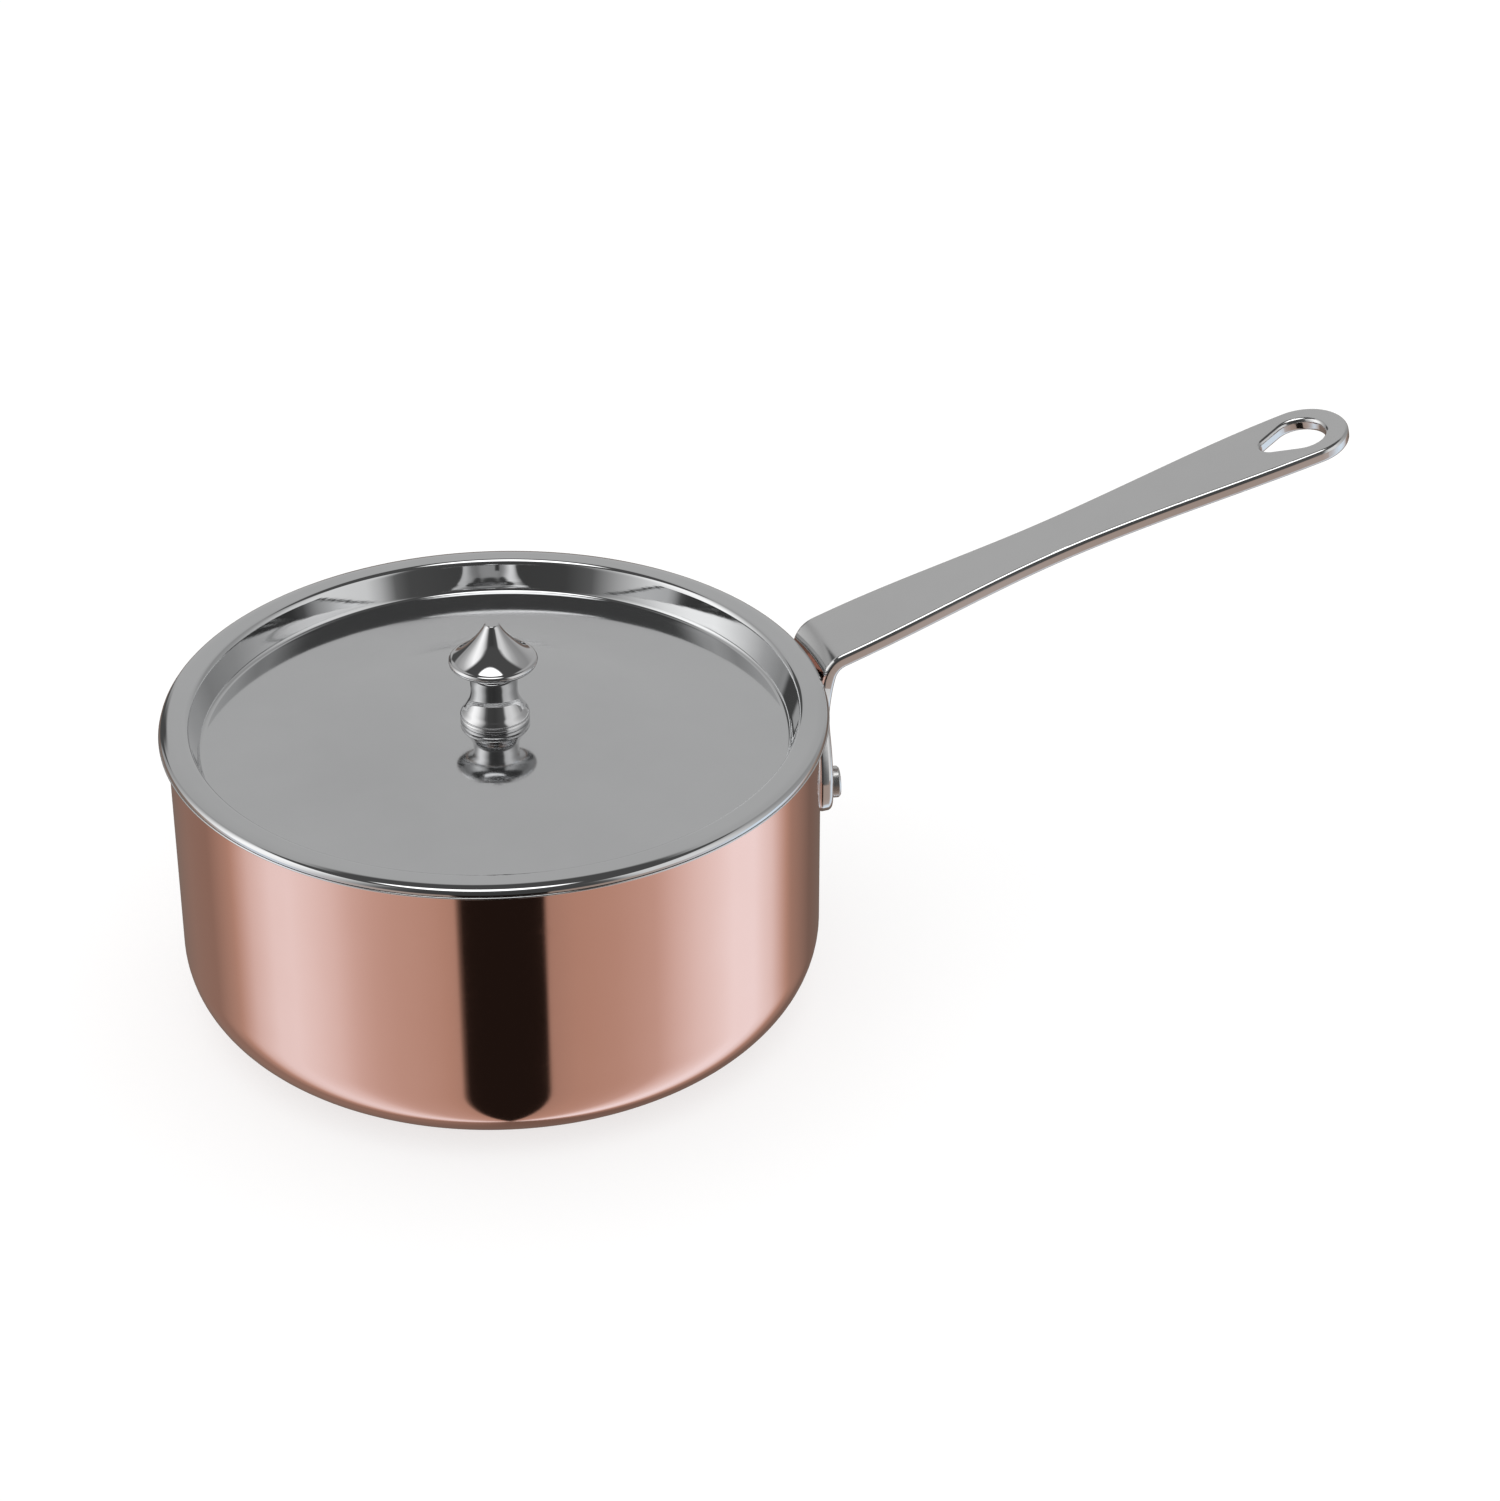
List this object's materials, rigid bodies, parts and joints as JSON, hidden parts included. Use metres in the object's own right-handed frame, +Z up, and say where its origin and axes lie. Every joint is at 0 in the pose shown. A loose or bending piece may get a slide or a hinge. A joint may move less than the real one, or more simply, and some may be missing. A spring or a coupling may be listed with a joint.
{
  "type": "copper saucepan with lid",
  "caption": "Clad copper saucepan with a rolled steel lip, a riveted flat steel handle with a hanging hole, and a recessed steel lid with a turned knob.",
  "frame": {"origin": "middle of the pan's base, on the surface it stands on", "axes": "+Z up along the pan's axis, +X out along the handle"},
  "size_m": [0.3202, 0.1684, 0.1206],
  "materials": {
    "copper": "fine satin-polished copper",
    "aluminium": "bare bonded core",
    "polished_steel": "mirror-polished stainless steel",
    "cast_steel": "polished cast stainless steel",
    "rivet_steel": "satin stainless steel"
  },
  "bodies": {
    "pan": {"copper_shell": "copper", "aluminium_core": "aluminium", "steel_liner": "polished_steel", "handle": "cast_steel", "handle_rivet_left": "rivet_steel", "handle_rivet_right": "rivet_steel"},
    "lid": {"lid": "polished_steel", "lid_knob": "polished_steel", "knob_washer": "rivet_steel", "knob_screw": "rivet_steel"}
  },
  "joints": [
    {"name": "lid_lift", "type": "slide", "parent": "pan", "child": "lid", "axis": [0, 0, 1], "range_m": [0, 0.09]}
  ]
}
